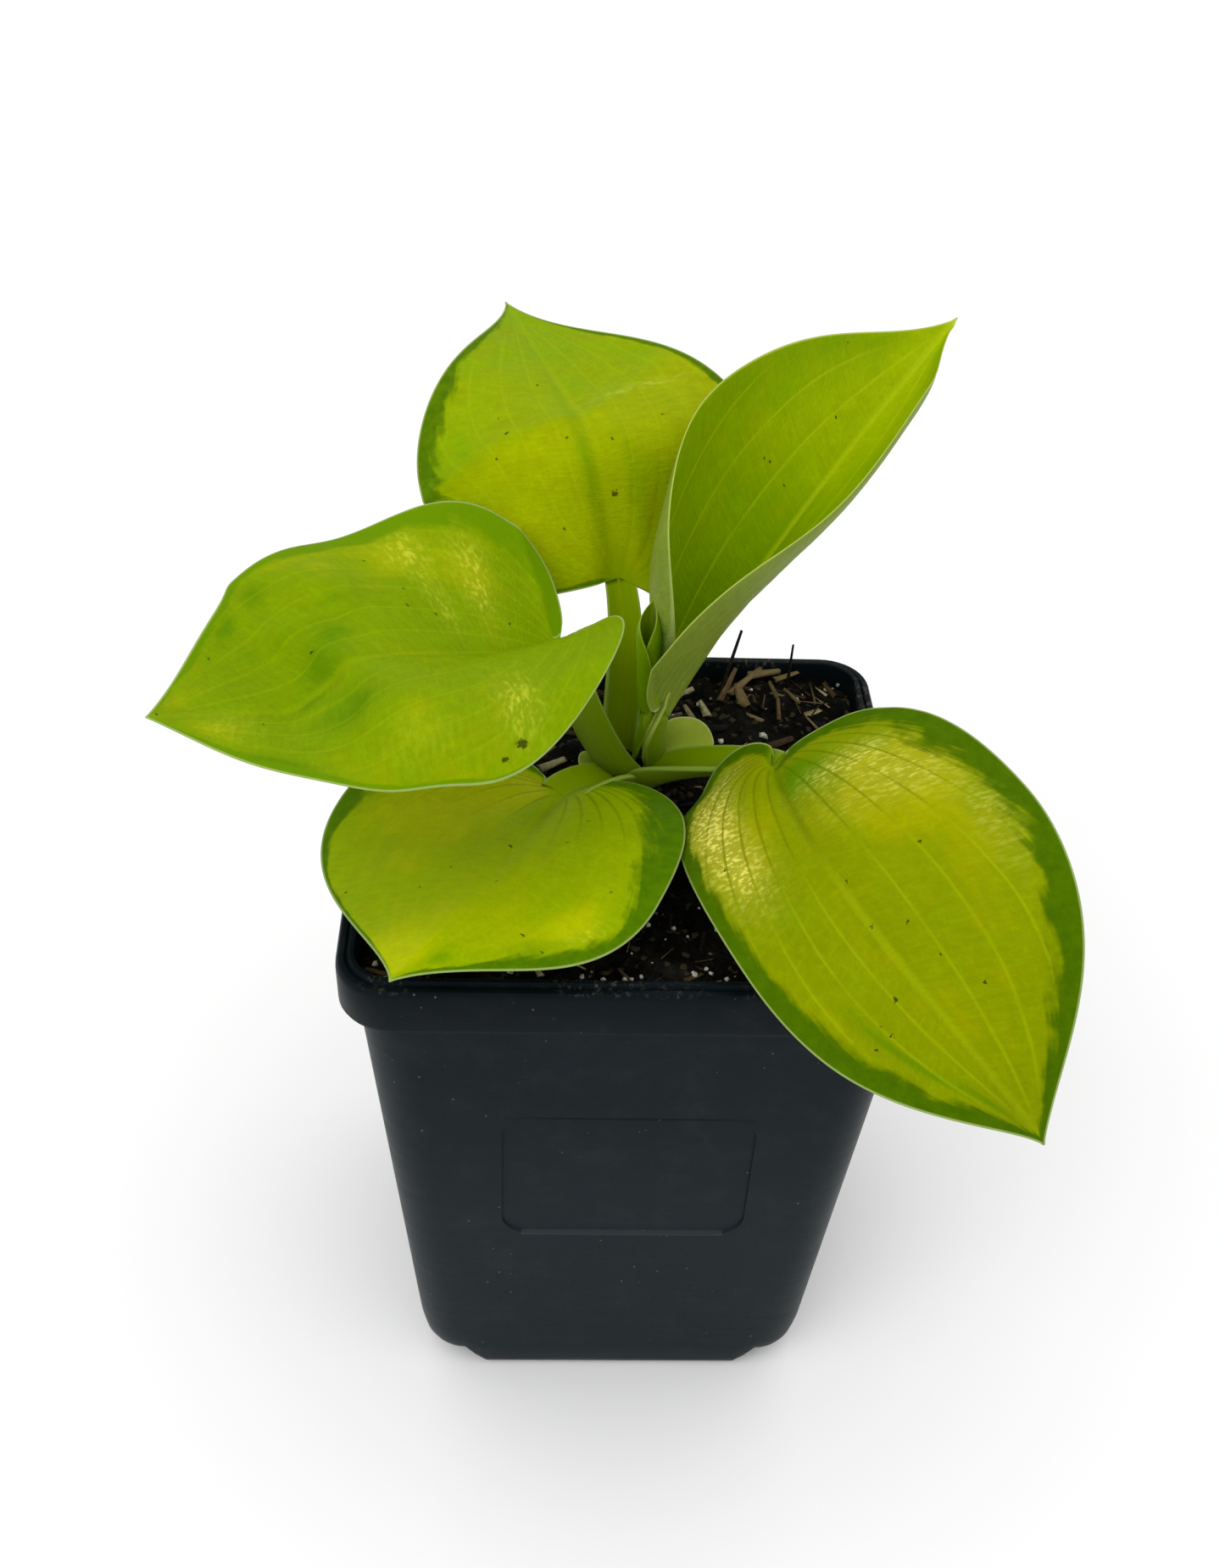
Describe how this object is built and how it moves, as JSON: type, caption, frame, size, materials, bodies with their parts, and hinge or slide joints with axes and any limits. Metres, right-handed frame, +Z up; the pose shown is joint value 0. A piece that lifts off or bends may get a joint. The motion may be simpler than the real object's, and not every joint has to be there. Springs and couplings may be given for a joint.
{
  "type": "potted plant",
  "caption": "Potted hosta: a clump of broad, pointed, heart-shaped leaves on short stalks, grown in potting mix in a tapered square nursery pot.",
  "frame": {"origin": "middle of the pot's flat underside", "axes": "+Z up, -Y out of the pot's front wall, the one with the recessed label panel, +X to the right as seen from the front"},
  "size_m": [0.1634, 0.1866, 0.1997],
  "materials": {
    "pot_plastic": "satin black moulded plastic with a little dust",
    "potting_mix": "dark moist peat with bark chips, wood fibre and pale grains",
    "crown_flesh": "pale fleshy rhizome and roots",
    "leaf_yellow_green": "soft satin leaf, yellow-green with a darker green margin and a thin pale edge",
    "leaf_green": "soft satin leaf, green with lighter veins",
    "bud_scale": "pale green waxy bud scale"
  },
  "bodies": {
    "root": {"pot": "pot_plastic", "potting_mix": "potting_mix", "crown": "crown_flesh", "leaf_left": "leaf_yellow_green", "leaf_back": "leaf_yellow_green", "leaf_upright": "leaf_green", "leaf_right": "leaf_yellow_green", "leaf_front": "leaf_yellow_green", "leaf_young": "leaf_green", "bud_scale_right": "bud_scale", "bud_scale_left": "bud_scale"}
  },
  "joints": []
}
